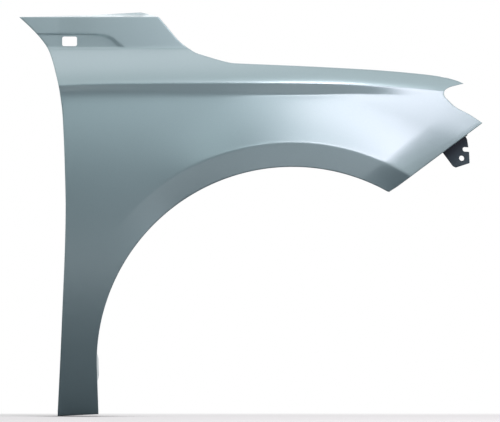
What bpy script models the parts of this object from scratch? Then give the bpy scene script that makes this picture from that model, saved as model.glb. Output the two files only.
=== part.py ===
"""Right-hand front fender of a car: one pressed steel panel and the small bracket welded below its front corner.

Units are metres. +X points to the front of the car, +Y inboard and +Z up. Everything is modelled about the wheel
centre, on the plane of the widest part of the side, and the parent empty then brings the middle of the underside of
the bonnet flange to the origin.
"""

import math

import bmesh
import bpy
import numpy as np
from mathutils import Matrix, Vector
from mathutils.geometry import interpolate_bezier

# Main sizes of the panel, seen from the side
ARCH_RADIUS = 0.356
LEG_WIDTH = 0.066
FOOT_DROP = 0.0975
FOOT_WIDTH_SHARE = 1.13
FOOT_RISE = 0.0035
SIDE_HEIGHT = 0.1525
SHOULDER_HEIGHT = 0.0632
SAIL_HEIGHT = 0.058
NOSE_REACH = 0.3467
ARCH_FRONT_ANGLE = math.radians(60.5)
SHEET = 0.0008

# Heights of the lines that the outline follows: foot, wheel centre, ridge, crease below the sail, top of the sail
RIDGE_LEVEL = ARCH_RADIUS + SIDE_HEIGHT
CREASE_LEVEL = RIDGE_LEVEL + SHOULDER_HEIGHT
TOP_LEVEL = CREASE_LEVEL + SAIL_HEIGHT
LEVELS = (-FOOT_DROP, 0.0, RIDGE_LEVEL, CREASE_LEVEL, TOP_LEVEL)

# Outline points. A height share counts LEVELS from the wheel centre: 1 is the ridge, 2 the crease, 3 the top.
# Door edge: height share, and how far behind the arch it lies as a share of the leg's width
DOOR_SHARES = (
    (-1, 1.086), (0, 1.009), (0.2, 0.939), (0.39, 0.877), (0.55, 0.852), (0.71, 0.879), (0.83, 0.915),
    (0.905, 0.952), (0.972, 1.023), (0.99, 1.048), (1.18, 1.106), (1.66, 1.23), (2, 1.359), (2.32, 1.558),
    (2.66, 1.836), (3, 2.159),
)
DOOR_UNDERCUT_KNOT = 8
DOOR_RIDGE_KNOT = 9
DOOR_CREASE_KNOT = 12
# The other curves: place along the car as a share of the arch radius behind the wheel centre or of the nose's
# reach in front of it, and height share. Top edge from the sail's front corner to the tip of the shoulder
TOP_SHARES = (
    (-0.685, 3), (-0.632, 2.612), (-0.579, 2.234), (-0.53, 2), (-0.486, 1.87), (-0.393, 1.698), (-0.32, 1.59),
    (-0.2685, 1.566), (-0.166, 1.541), (0.0395, 1.492), (0.2495, 1.435), (0.4595, 1.369), (0.669, 1.271),
    (0.774, 1.199), (0.827, 1.139), (0.879, 1.049), (0.9, 0.999),
)
TOP_CREASE_KNOT = 3
HOOD_START_KNOT = 7
# Headlamp notch from the nose's tip, along its lower edge and back out to the tip of the shoulder
NOTCH_SHARES = (
    (1, 0.8582), (0.928, 0.8899), (0.8566, 0.9156), (0.8177, 0.94), (0.7985, 0.9555), (0.7978, 0.9703),
    (0.8047, 0.977), (0.827, 0.986), (0.879, 0.9957), (0.9, 0.999),
)
NOTCH_UNDERCUT_KNOT = 3
NOTCH_RIDGE_KNOT = 5
# Ridge along the side, and the lower edge of the undercut below it
RIDGE_SHARES = (
    (-0.984, 0.9953), (-0.75, 0.9978), (-0.53, 0.9993), (0.0395, 0.9986), (0.302, 0.9943), (0.5645, 0.9843),
    (0.722, 0.9764),
)
UNDERCUT_SHARES = (
    (-0.984, 0.967), (-0.75, 0.9625), (-0.53, 0.9585), (0.0395, 0.9567), (0.302, 0.9595), (0.5645, 0.953),
    (0.722, 0.946),
)
SPLIT_KNOT = 3
# First stretch of the bumper edge, beside the arch's front corner
BUMPER_CORNER_SHARES = (0.5538, 0.6313)

# Form of the skin: how far each surface lies inboard
CROWN_RADIUS = 1.4
CROWN_LEVEL = 0.35
NOSE_SWEEP = 0.125
SWEEP_START = -0.15
SWEEP_POWER_SHARE = 2.3
TAIL_SWEEP = 0.004
TAIL_START = -0.1
RIDGE_PROUD = 0.006
RIDGE_FADE_START = 0.105
RIDGE_FADE_END = 0.22
SHOULDER_FIRST_SLOPE_SHARE = 0.35
SHOULDER_SLOPE_SHARE = 1.15
SHOULDER_ROLL = 0.012
SAIL_SLOPE_SHARE = 0.25
SAIL_BLEND = 0.004
RECESS_DEPTH = 0.002
RECESS_WALL = 0.0035
RECESS_END_SHARE = 0.862
RECESS_TOP_SHARE = 0.455
LIP_WIDTH = 0.044
LIP_DROP = 0.007
LIP_FADE = (math.radians(125), math.radians(150))
FLARE = 0.010
FLARE_REACH = 0.09
FLARE_FADE = (math.radians(98), math.radians(132))
TUCK = 0.008
TUCK_REACH = 0.06
TUCK_FADE_SHARE = 0.45

# Folded edges
FOLD_RADIUS = 0.0018
FOLD_RISE = 0.0032
CORNER_RELIEF = 0.0012
FOOT_FLANGE = 0.024
ARCH_FLANGE = 0.020
BUMPER_FLANGE = 0.018
NOTCH_FLANGE = 0.012
NOTCH_RIM = 0.0035
SAIL_FLANGE = 0.016
SAIL_FLANGE_RISE = 0.0083
DOOR_FLANGE = 0.014
HINGE_TAB = 0.034
HINGE_TAB_SHARES = (0.797, 0.895)
HINGE_TAB_CORNER = 0.012
SAIL_RISE_SHARES = (0.496, 0.875, 1)
CORNER_LENGTH = 0.008
COWL_FLANGE = 0.016
HOOD_FLANGE = 0.028
HOOD_FLANGE_DROP = 0.0085
HOOD_FLANGE_LEVEL = RIDGE_LEVEL - HOOD_FLANGE_DROP
HOOD_FLANGE_END_SHARE = 0.72
HOOD_WALL_LEAN = 0.003
ARCH_TAB_LEAN = 0.003
ARCH_TAB_REACH = 0.014
ARCH_TAB_LEVEL = -0.008

# Holes
INDICATOR_LENGTH = 0.027
INDICATOR_HEIGHT = 0.0175
INDICATOR_CORNER = 0.0035
BOLT_HOLE = 0.009
CLIP_HOLE = 0.0055
HOLE_SIDES = 20
CUT_OVERRUN = 0.004
ORIGIN_SHARE = 0.26
BONNET_BOLT_SHARES = (-0.17, 0.115, 0.405, 0.64)
FOOT_BOLT_SHARES = (0.3, 0.7)
FOOT_BOLT_INBOARD_SHARE = 0.6
CLIP_ANGLES = tuple(math.radians(angle) for angle in (68, 85, 102, 119, 136, 153, 170))
CLIP_SHARE = 0.55
INDICATOR_SHARE = 0.756

# Bracket, with its outline and holes as shares of its length along the bumper edge and of its drop below it
BRACKET_START_SHARE = 0.532
BRACKET_LENGTH = 0.0555
BRACKET_DROP = 0.0445
BRACKET_SHARES = (
    (0, 0.69), (0.05, 0.81), (0.5, 1), (0.714, 0.607), (0.903, 0.155), (0.914, 0.04), (1, 0.03),
)
BRACKET_SHEET = 0.0018
BRACKET_BEND = 0.0015
BRACKET_CLEARANCE = 0.0015
BRACKET_TAPER = 0.004
BRACKET_CORNER = 0.003
WELD_GAP = 0.0003
WELD_START = 0.005
ROUND_HOLE = 0.0098
ROUND_HOLE_SHARES = (0.387, 0.645)
SLOT_WIDTH = 0.0085
SLOT_END_SHARES = (0.645, 0.43)

# Finish: red, green and blue shares, then roughness and metallic shares
PANEL_COLOUR_SHARES = (0.60, 0.67, 0.69)
PANEL_GLOSS_SHARES = (0.38, 0.55)
PRIMER_COLOUR_SHARES = (0.10, 0.12, 0.17)
PRIMER_GLOSS_SHARES = (0.5, 0.2)

# Mesh: intervals along each stretch, and across each band
LEG_STEPS = 40
REAR_STEPS = 12
FRONT_STEPS = 26
LIP_STEPS = 3
BUMPER_STEPS = 6
NOTCH_LOW_STEPS = 3
UNDERCUT_ROW_SHARES = (0, 0.2, 0.55, 0.88, 1)
SHOULDER_ROW_SHARES = (0, 0.06, 0.18, 0.36, 0.6, 0.85, 1)
SAIL_ROW_SHARES = (0, 0.1, 0.26, 0.39, 0.46, 0.64, 0.82, 1)
SIDE_REACH_POWER = 4
CURVE_STEPS = 10
CORNER_STEPS = 4
ROUND_SHARE = 0.5
SMALLEST = 1e-6


# Curves
def height(share):
    """Height of a height share, counted along LEVELS."""
    return float(np.interp(share, (-1, 0, 1, 2, 3), LEVELS))


def place(along_share, height_share):
    reach = NOSE_REACH if along_share > 0 else ARCH_RADIUS
    return Vector((along_share * reach, height(height_share)))


def smooth_curve(knots):
    """Points of a smooth curve through the knots, CURVE_STEPS of them for each span."""
    tangents = []
    for k, knot in enumerate(knots):
        before, after = knots[max(k - 1, 0)], knots[min(k + 1, len(knots) - 1)]
        tangents.append((after - before).normalized())
    points = []
    for k in range(len(knots) - 1):
        handle = (knots[k + 1] - knots[k]).length / 3
        span = interpolate_bezier(
            knots[k], knots[k] + tangents[k] * handle, knots[k + 1] - tangents[k + 1] * handle, knots[k + 1],
            CURVE_STEPS + 1,
        )
        points += [Vector(p[:2]) for p in span[:-1]]
    return points + [knots[-1].copy()]


def at_knot(curve, knot):
    return curve[knot * CURVE_STEPS]


def stretch(curve, first_knot, last_knot):
    return curve[first_knot * CURVE_STEPS:last_knot * CURVE_STEPS + 1]


def even(count):
    return [k / count for k in range(count + 1)]


def resample(points, shares):
    """Points at the given shares of a curve's length."""
    lengths = np.cumsum([0] + [(b - a).length for a, b in zip(points, points[1:])])
    wanted = np.array(shares) * lengths[-1]
    xs = np.interp(wanted, lengths, [p.x for p in points])
    zs = np.interp(wanted, lengths, [p.y for p in points])
    return [Vector(pair) for pair in zip(xs, zs)]


def circle_share(start, end, radius):
    """How far along the line from start to end it leaves the circle about the wheel centre."""
    line = end - start
    a, b, c = line.length_squared, start.dot(line), start.length_squared - radius * radius
    return (math.sqrt(max(b * b - a * c, 0)) - b) / a


door_edge = smooth_curve(
    [Vector((-(ARCH_RADIUS + LEG_WIDTH * width), height(level))) for level, width in DOOR_SHARES]
)
top_edge = smooth_curve([place(*shares) for shares in TOP_SHARES])
notch_edge = smooth_curve([place(*shares) for shares in NOTCH_SHARES])
nose_tip = notch_edge[0]
foot_rear = door_edge[0]
foot_front = Vector((foot_rear.x + LEG_WIDTH * FOOT_WIDTH_SHARE, foot_rear.y + FOOT_RISE))
arch_front = Vector((math.cos(ARCH_FRONT_ANGLE), math.sin(ARCH_FRONT_ANGLE))) * (ARCH_RADIUS + SHEET)
bumper_corner = place(*BUMPER_CORNER_SHARES)
ridge_line = smooth_curve(
    [at_knot(door_edge, DOOR_RIDGE_KNOT)]
    + [place(*shares) for shares in RIDGE_SHARES]
    + [at_knot(notch_edge, NOTCH_RIDGE_KNOT)]
)
undercut_line = smooth_curve(
    [at_knot(door_edge, DOOR_UNDERCUT_KNOT)]
    + [place(*shares) for shares in UNDERCUT_SHARES]
    + [at_knot(notch_edge, NOTCH_UNDERCUT_KNOT)]
)
crease_line = [
    at_knot(door_edge, DOOR_CREASE_KNOT),
    at_knot(top_edge, TOP_CREASE_KNOT),
]


# Form of the skin
def eased(value, start, end):
    """0 before start, 1 after end, and a smooth rise between them."""
    share = min(max((value - start) / (end - start), 0), 1)
    return share * share * (3 - 2 * share)


def line_height(line, x):
    return float(np.interp(x, [p.x for p in line], [p.y for p in line]))


def side_depth(x, z):
    """Crowned side, swept in towards the nose and a little towards the door."""
    crown = (z - CROWN_LEVEL) ** 2 / (2 * CROWN_RADIUS)
    nose = max((x - SWEEP_START) / (NOSE_REACH - SWEEP_START), 0) ** SWEEP_POWER_SHARE * NOSE_SWEEP
    tail = max((TAIL_START - x) / (TAIL_START + ARCH_RADIUS), 0) ** 2 * TAIL_SWEEP
    return crown + nose + tail


def arch_depth(x, z):
    """Flare towards the arch's crease, and the lip that falls away from it to the edge."""
    angle = math.atan2(z, x) % (2 * math.pi)
    out = math.hypot(x, z) - ARCH_RADIUS - LIP_WIDTH
    flare = FLARE * (1 - eased(angle, *FLARE_FADE))
    lip = LIP_DROP * (1 - eased(angle, *LIP_FADE))
    if out > 0:
        return -flare * max(1 - out / FLARE_REACH, 0) ** 2
    return -flare - lip * out / LIP_WIDTH


def bumper_depth(x, z):
    """Tuck of the skin towards the bumper edge, which fades out at the nose's tip."""
    line = nose_tip - bumper_corner
    offset = Vector((x, z)) - bumper_corner
    inside = line.normalized().cross(offset)
    ahead = offset.dot(line) / line.length_squared
    fade = eased(ahead, -TUCK_FADE_SHARE, 0) * (1 - eased(ahead, TUCK_FADE_SHARE, 1))
    return TUCK * fade * max(1 - max(inside, 0) / TUCK_REACH, 0) ** 2


def shoulder_depth(x, z):
    """Ridge that stands proud over its undercut, and the shoulder that leans inboard above it."""
    ridge, undercut = line_height(ridge_line, x), line_height(undercut_line, x)
    rise = min(max((z - undercut) / (ridge - undercut), 0), 1)
    proud = RIDGE_PROUD * (1 - eased(x, RIDGE_FADE_START, RIDGE_FADE_END)) * rise
    above = max(z - ridge, 0)
    eased_off = SHOULDER_SLOPE_SHARE - SHOULDER_FIRST_SLOPE_SHARE
    roll = eased_off * SHOULDER_ROLL * (1 - math.exp(-above / SHOULDER_ROLL))
    return SHOULDER_SLOPE_SHARE * above - roll - proud


def recess_depth(x, z):
    """Shallow recess round the indicator, from the crease up, with a slanted front end."""
    top = CREASE_LEVEL + SAIL_HEIGHT * RECESS_TOP_SHARE
    end = -ARCH_RADIUS * RECESS_END_SHARE - (z - CREASE_LEVEL)
    inside = min(top - z, z - CREASE_LEVEL, (end - x) / math.sqrt(2))
    return RECESS_DEPTH * eased(inside, 0, RECESS_WALL)


def upper_depth(x, z):
    """The leaning shoulder below the crease, and the nearly upright sail above it."""
    leaning = shoulder_depth(x, z)
    if z < line_height(ridge_line, x):
        return leaning
    upright = shoulder_depth(x, CREASE_LEVEL) + SAIL_SLOPE_SHARE * (z - CREASE_LEVEL)
    return (leaning + upright - math.hypot(leaning - upright, SAIL_BLEND)) / 2


def skin_depth(x, z):
    return (
        side_depth(x, z) + arch_depth(x, z) + bumper_depth(x, z) + upper_depth(x, z) + recess_depth(x, z)
    )


# The skin as patches between its guide curves
def on_skin(point):
    return Vector((point.x, skin_depth(point.x, point.y), point.y))


def add_patch(bm, bottom, top, left, right, row_shares):
    """Grid of faces between four curves of points, whose rows lie at row_shares of the way up."""
    columns, rows = len(bottom) - 1, len(row_shares) - 1
    grid = bmesh.ops.create_grid(bm, x_segments=columns, y_segments=rows, size=1)
    for vert in grid["verts"]:
        i, j = round((vert.co.x + 1) / 2 * columns), round((vert.co.y + 1) / 2 * rows)
        u, v = i / columns, row_shares[j]
        left_bulge = left[j] - left[0].lerp(left[-1], v)
        right_bulge = right[j] - right[0].lerp(right[-1], v)
        point = bottom[i].lerp(top[i], v)
        point += left_bulge * (1 - u) ** SIDE_REACH_POWER + right_bulge * u ** SIDE_REACH_POWER
        vert.co = on_skin(point)


def arc(start_angle, end_angle, count):
    angles = [start_angle + (end_angle - start_angle) * share for share in even(count)]
    return [Vector((math.cos(a), math.sin(a))) * ARCH_RADIUS for a in angles]


# Rows of points that neighbouring patches share
door_split, front_split = at_knot(undercut_line, 0), at_knot(undercut_line, SPLIT_KNOT)
rear_angle = math.atan2(door_split.y, door_split.x)
front_angle = math.atan2(front_split.y, front_split.x)
leg_inside = [foot_front] + arc(math.pi, rear_angle, LEG_STEPS)
arch_row = (
    resample(leg_inside, even(LEG_STEPS))[:-1]
    + arc(rear_angle, front_angle, REAR_STEPS)[:-1]
    + arc(front_angle, ARCH_FRONT_ANGLE, FRONT_STEPS)[:-1]
    + [arch_front]
)
undercut_row = (
    resample(stretch(undercut_line, 0, SPLIT_KNOT), even(REAR_STEPS))[:-1]
    + resample(stretch(undercut_line, SPLIT_KNOT, len(UNDERCUT_SHARES) + 1), even(FRONT_STEPS))
)
ridge_row = (
    resample(stretch(ridge_line, 0, SPLIT_KNOT), even(REAR_STEPS))[:-1]
    + resample(stretch(ridge_line, SPLIT_KNOT, len(RIDGE_SHARES) + 1), even(FRONT_STEPS))
)
crease_row = resample(crease_line, even(REAR_STEPS))
hood_row = resample(stretch(top_edge, TOP_CREASE_KNOT, len(TOP_SHARES) - 1), even(FRONT_STEPS))
sail_row = resample([door_edge[-1], top_edge[0]], even(REAR_STEPS))
door_row = resample(stretch(door_edge, 0, DOOR_UNDERCUT_KNOT), even(LEG_STEPS))
outer_row = door_row[:-1] + undercut_row

bumper_share = circle_share(bumper_corner, nose_tip, ARCH_RADIUS + LIP_WIDTH)
bumper_lip_end = bumper_corner.lerp(nose_tip, bumper_share)
LARGEST_LIP_SHARE = 0.36
lip_row = []
for near, far in zip(arch_row, outer_row):
    share = circle_share(near, far, ARCH_RADIUS + LIP_WIDTH)
    lip_row.append(near.lerp(far, min(share, LARGEST_LIP_SHARE)))
lip_row[-1] = bumper_lip_end

side_rows = BUMPER_STEPS + NOTCH_LOW_STEPS
foot_lip = resample([arch_row[0], lip_row[0]], even(LIP_STEPS))
foot_side = resample([lip_row[0], outer_row[0]], even(side_rows))
bumper_lip = resample([arch_front, bumper_corner, bumper_lip_end], even(LIP_STEPS))
bumper_side = resample([bumper_lip_end, nose_tip], even(BUMPER_STEPS))
notch_low = resample(stretch(notch_edge, 0, NOTCH_UNDERCUT_KNOT), even(NOTCH_LOW_STEPS))
notch_back = resample(stretch(notch_edge, NOTCH_UNDERCUT_KNOT, NOTCH_RIDGE_KNOT), UNDERCUT_ROW_SHARES)
notch_high = resample(stretch(notch_edge, NOTCH_RIDGE_KNOT, len(NOTCH_SHARES) - 1), SHOULDER_ROW_SHARES)
door_undercut = resample(stretch(door_edge, DOOR_UNDERCUT_KNOT, DOOR_RIDGE_KNOT), UNDERCUT_ROW_SHARES)
door_shoulder = resample(stretch(door_edge, DOOR_RIDGE_KNOT, DOOR_CREASE_KNOT), SHOULDER_ROW_SHARES)
door_sail = resample(stretch(door_edge, DOOR_CREASE_KNOT, len(DOOR_SHARES) - 1), SAIL_ROW_SHARES)
cowl = resample(stretch(top_edge, 0, TOP_CREASE_KNOT)[::-1], SAIL_ROW_SHARES)

panel_mesh = bmesh.new()
add_patch(panel_mesh, arch_row, lip_row, foot_lip, bumper_lip, even(LIP_STEPS))
add_patch(panel_mesh, lip_row, outer_row, foot_side, bumper_side + notch_low[1:], even(side_rows))
add_patch(panel_mesh, undercut_row, ridge_row, door_undercut, notch_back, UNDERCUT_ROW_SHARES)
add_patch(
    panel_mesh, ridge_row, crease_row[:-1] + hood_row, door_shoulder, notch_high, SHOULDER_ROW_SHARES
)
add_patch(panel_mesh, crease_row, sail_row, door_sail, cowl, SAIL_ROW_SHARES)
bmesh.ops.remove_doubles(panel_mesh, verts=panel_mesh.verts, dist=SMALLEST)


# Flanges: each open edge is folded twice, by a short first vector and by the width of its flange
INBOARD = Vector((0, 1, 0))


def straight_fold(width, taper):
    """A flange that runs straight inboard, and is cut back to CORNER_RELIEF where taper is 0."""
    first = INBOARD * FOLD_RISE
    return first, INBOARD * (CORNER_RELIEF + max(width - FOLD_RISE - CORNER_RELIEF, 0) * taper)


def foot_fold(point, taper):
    return straight_fold(FOOT_FLANGE, taper)


def arch_fold(point, taper):
    """The arch's flange, with the tab near the wheel centre that leans out into the opening."""
    first, second = straight_fold(ARCH_FLANGE, taper)
    apart = abs(point.y - ARCH_TAB_LEVEL)
    lean = ARCH_TAB_LEAN * (1 - eased(apart, ARCH_TAB_REACH, 2 * ARCH_TAB_REACH)) if point.x < 0 else 0
    return first, second + Vector((lean, 0, 0))


def bumper_fold(point, taper):
    return straight_fold(BUMPER_FLANGE, taper)


def notch_fold(point, taper):
    """Full width below the notch's deepest point, and only a rim under the shoulder."""
    deepest = at_knot(notch_edge, NOTCH_RIDGE_KNOT)
    upper = eased(point.y, at_knot(notch_edge, NOTCH_UNDERCUT_KNOT).y, deepest.y)
    return straight_fold(NOTCH_FLANGE + (NOTCH_RIM - NOTCH_FLANGE) * upper, taper)


def top_fold(point, taper):
    """Wall and bolting flange under the bonnet, and a plain flange along the cowl and at the shoulder's tip."""
    cowl_first, cowl_second = straight_fold(COWL_FLANGE, taper)
    hood_first = Vector((0, HOOD_WALL_LEAN, HOOD_FLANGE_LEVEL - point.y))
    behind = 1 - eased(point.x, crease_line[1].x, at_knot(top_edge, HOOD_START_KNOT).x)
    ahead = eased(point.x, NOSE_REACH * HOOD_FLANGE_END_SHARE, hood_row[-1].x)
    plain = max(behind, ahead)
    return hood_first.lerp(cowl_first, plain), (INBOARD * HOOD_FLANGE).lerp(cowl_second, plain)


def sail_fold(point, taper):
    """Flange along the top of the sail, which rises inboard in front of the recess."""
    first, second = straight_fold(SAIL_FLANGE, taper)
    ahead = (point.x - sail_row[0].x) / (sail_row[-1].x - sail_row[0].x)
    rise = SAIL_FLANGE_RISE * float(np.interp(ahead, SAIL_RISE_SHARES, (0, 1, 0)))
    return first, second + Vector((0, 0, rise))


def door_fold(point, taper):
    """Flange along the door, with the wider tab that is bolted to the hinge pillar."""
    low, high = (RIDGE_LEVEL * share for share in HINGE_TAB_SHARES)
    beside = max(low - point.y, point.y - high, 0)
    tab = 1 - eased(beside, 0, HINGE_TAB_CORNER)
    return straight_fold(DOOR_FLANGE + (HINGE_TAB - DOOR_FLANGE) * tab, taper)


def key_of(point):
    return round(point.x, 5), round(point.y, 5)


def fold_vectors(runs):
    """The two fold vectors of each edge point, the mean of both runs' at a corner."""
    found = {}
    for points, fold in runs:
        lengths = np.cumsum([0] + [(b - a).length for a, b in zip(points, points[1:])])
        for point, length in zip(points, lengths):
            taper = min(length / CORNER_LENGTH, (lengths[-1] - length) / CORNER_LENGTH, 1)
            found.setdefault(key_of(point), []).append(fold(point, taper))
    return {key: [sum(vectors, Vector((0, 0, 0))) / len(pairs) for vectors in zip(*pairs)]
            for key, pairs in found.items()}


def fold_open_edges(bm, vectors, step):
    """Extrude every open edge once, move each new point by its fold vector, and return the new points' vectors."""
    edges = [edge for edge in bm.edges if edge.is_boundary]
    grown = bmesh.ops.extrude_edge_only(bm, edges=edges)["geom"]
    moved = {}
    for vert in (part for part in grown if isinstance(part, bmesh.types.BMVert)):
        neighbours = [edge.other_vert(vert) for edge in vert.link_edges]
        source = min(neighbours, key=lambda other: (other.co - vert.co).length)
        moved[vert] = vectors[source]
    for vert, pair in moved.items():
        vert.co += pair[step]
    return moved


edge_vectors = fold_vectors((
    (foot_lip + foot_side[1:], foot_fold),
    (arch_row, arch_fold),
    (bumper_lip + bumper_side[1:], bumper_fold),
    (notch_low + notch_back[1:] + notch_high[1:], notch_fold),
    (hood_row[::-1] + cowl[1:], top_fold),
    (sail_row, sail_fold),
    (door_row + door_undercut[1:] + door_shoulder[1:] + door_sail[1:], door_fold),
))
bend_weight = panel_mesh.edges.layers.float.new("bevel_weight_edge")
bends = [edge for edge in panel_mesh.edges if edge.is_boundary]
skin_vectors = {
    vert: edge_vectors[key_of(Vector((vert.co.x, vert.co.z)))] for edge in bends for vert in edge.verts
}
first_vectors = fold_open_edges(panel_mesh, skin_vectors, 0)
for edge in panel_mesh.edges:
    if edge.is_boundary and all(first_vectors[vert][0].z < -FOLD_RISE for vert in edge.verts):
        bends.append(edge)
fold_open_edges(panel_mesh, first_vectors, 1)
for edge in panel_mesh.edges:
    edge[bend_weight] = 0
for edge in bends:
    edge[bend_weight] = 1


# Making the objects
def paint(name, srgb, roughness, metallic):
    """A Principled material of one sRGB colour."""
    material = bpy.data.materials.new(name)
    material.use_nodes = True
    shader = material.node_tree.nodes["Principled BSDF"]
    linear = [c / 12.92 if c <= 0.04045 else ((c + 0.055) / 1.055) ** 2.4 for c in srgb]
    shader.inputs["Base Color"].default_value = (*linear, 1)
    shader.inputs["Roughness"].default_value = roughness
    shader.inputs["Metallic"].default_value = metallic
    material.diffuse_color = (*linear, 1)
    return material


def make_object(name, bm, collection, parent, material=None):
    mesh = bpy.data.meshes.new(name)
    bm.to_mesh(mesh)
    bm.free()
    made = bpy.data.objects.new(name, mesh)
    collection.objects.link(made)
    made.parent = parent
    if material:
        mesh.materials.append(material)
        mesh.shade_smooth()
    else:
        made.hide_render = True
        made.display_type = "WIRE"
    return made


def bend_and_thicken(made, radius, thickness, offset):
    bend = made.modifiers.new("bend", "BEVEL")
    bend.limit_method = "WEIGHT"
    bend.width = radius
    bend.segments = 2
    bend.use_clamp_overlap = False
    wall = made.modifiers.new("wall", "SOLIDIFY")
    wall.thickness = thickness
    wall.offset = offset
    wall.use_even_offset = True


def cut(made, cutter):
    holes = made.modifiers.new("holes", "BOOLEAN")
    holes.operation = "DIFFERENCE"
    holes.object = cutter
    holes.solver = "EXACT"


def add_drill(bm, centre, axis, diameter, depth):
    """A cylinder for a round hole, centred on the wall that it cuts."""
    turn = axis.to_track_quat("Z", "Y").to_matrix().to_4x4()
    bmesh.ops.create_cone(
        bm, cap_ends=True, segments=HOLE_SIDES, radius1=diameter / 2, radius2=diameter / 2, depth=depth,
        matrix=Matrix.Translation(centre) @ turn,
    )


for left_over in list(bpy.data.objects):
    bpy.data.objects.remove(left_over, do_unlink=True)
parts = bpy.data.collections.new("car_fender")
cutters = bpy.data.collections.new("cutters")
bpy.context.scene.collection.children.link(parts)
bpy.context.scene.collection.children.link(cutters)


# Origin: middle of the underside of the bonnet flange, between its two middle bolt holes
def hood_flange_point(x):
    edge_level = line_height(hood_row, x)
    inboard = skin_depth(x, edge_level) + HOOD_WALL_LEAN + HOOD_FLANGE / 2
    return Vector((x, inboard, HOOD_FLANGE_LEVEL))


origin_point = hood_flange_point(NOSE_REACH * ORIGIN_SHARE) - Vector((0, 0, SHEET))
frame = bpy.data.objects.new("bonnet_flange_origin", None)
frame.location = -origin_point
parts.objects.link(frame)

panel = make_object(
    "fender_panel", panel_mesh, parts, frame, paint("satin_silver_green", PANEL_COLOUR_SHARES, *PANEL_GLOSS_SHARES)
)
bend_and_thicken(panel, FOLD_RADIUS, SHEET, -1)

# Holes in the panel's flanges, and the indicator's hole in the sail
drill_mesh = bmesh.new()
UP, ACROSS = Vector((0, 0, 1)), Vector((1, 0, 0))
for share in BONNET_BOLT_SHARES:
    add_drill(drill_mesh, hood_flange_point(NOSE_REACH * share), UP, BOLT_HOLE, 2 * CUT_OVERRUN)
for share in FOOT_BOLT_SHARES:
    foot_point = on_skin(foot_front.lerp(foot_rear, share))
    add_drill(drill_mesh, foot_point + INBOARD * FOOT_FLANGE * FOOT_BOLT_INBOARD_SHARE, UP, BOLT_HOLE, 2 * CUT_OVERRUN)
tab_level = RIDGE_LEVEL * sum(HINGE_TAB_SHARES) / 2
tab_x = float(np.interp(tab_level, [p.y for p in door_edge], [p.x for p in door_edge]))
tab_depth = skin_depth(tab_x, tab_level) + HINGE_TAB - BOLT_HOLE
add_drill(drill_mesh, Vector((tab_x, tab_depth, tab_level)), ACROSS, BOLT_HOLE, 2 * CUT_OVERRUN)
for angle in CLIP_ANGLES:
    spoke = Vector((math.cos(angle), 0, math.sin(angle)))
    clip = spoke * ARCH_RADIUS
    clip.y = skin_depth(clip.x, clip.z) + ARCH_FLANGE * CLIP_SHARE
    add_drill(drill_mesh, clip, spoke, CLIP_HOLE, 2 * CUT_OVERRUN)
drills = make_object("round_holes", drill_mesh, cutters, frame)
cut(panel, drills)

window_mesh = bmesh.new()
indicator = Vector((
    -ARCH_RADIUS - LEG_WIDTH * INDICATOR_SHARE, CREASE_LEVEL + RECESS_TOP_SHARE * SAIL_HEIGHT / 2
))
window = bmesh.ops.create_cube(window_mesh, size=1)["verts"]
bmesh.ops.scale(window_mesh, vec=(INDICATOR_LENGTH, 4 * CUT_OVERRUN, INDICATOR_HEIGHT), verts=window)
corners = [edge for edge in window_mesh.edges if abs((edge.verts[0].co - edge.verts[1].co).y) > CUT_OVERRUN]
bmesh.ops.bevel(
    window_mesh, geom=corners, offset=INDICATOR_CORNER, segments=CORNER_STEPS, affect="EDGES",
    profile=ROUND_SHARE,
)
bmesh.ops.translate(window_mesh, vec=on_skin(indicator), verts=window_mesh.verts)
cut(panel, make_object("indicator_window", window_mesh, cutters, frame))

# Bracket: its own axes run along the bumper edge, square out of it in the side view, and inboard
bumper_line = nose_tip - bumper_corner
bracket_start = bumper_corner.lerp(nose_tip, BRACKET_START_SHARE)
bracket_end = bracket_start + bumper_line.normalized() * BRACKET_LENGTH
along_axis = (on_skin(bracket_end) - on_skin(bracket_start)) / BRACKET_LENGTH
down_axis = Vector((bumper_line.y, 0, -bumper_line.x)).normalized()
plate_inboard = BUMPER_FLANGE + BRACKET_BEND + BRACKET_CLEARANCE
weld_drop = -SHEET - WELD_GAP


def bracket_point(along, drop, inboard):
    return on_skin(bracket_start) + along_axis * along + down_axis * drop + INBOARD * inboard


bracket_mesh = bmesh.new()
weight = bracket_mesh.edges.layers.float.new("bevel_weight_edge")
outline = [bracket_mesh.verts.new(bracket_point(0, weld_drop, plate_inboard))]
for along_share, drop_share in BRACKET_SHARES:
    outline.append(bracket_mesh.verts.new(
        bracket_point(along_share * BRACKET_LENGTH, drop_share * BRACKET_DROP, plate_inboard)
    ))
outline.append(bracket_mesh.verts.new(bracket_point(BRACKET_LENGTH, weld_drop, plate_inboard)))
plate = bracket_mesh.faces.new(outline)
bend_line = bracket_mesh.edges.get((outline[0], outline[-1]))
weld_edge = bmesh.ops.extrude_edge_only(bracket_mesh, edges=[bend_line])["geom"]
for vert in (part for part in weld_edge if isinstance(part, bmesh.types.BMVert)):
    inwards = along_axis * BRACKET_TAPER * (1 if (vert.co - outline[0].co).length < BRACKET_LENGTH / 2 else -1)
    vert.co += INBOARD * (WELD_START - plate_inboard) + inwards
bmesh.ops.bevel(
    bracket_mesh, geom=outline[2:4], offset=BRACKET_CORNER, segments=CORNER_STEPS, affect="VERTICES",
    profile=ROUND_SHARE,
)
for edge in bracket_mesh.edges:
    edge[weight] = 1 if len(edge.link_faces) == 2 else 0
bracket = make_object(
    "bumper_bracket", bracket_mesh, parts, frame, paint("dark_primer", PRIMER_COLOUR_SHARES, *PRIMER_GLOSS_SHARES)
)
bend_and_thicken(bracket, BRACKET_BEND, BRACKET_SHEET, -1)

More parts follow.
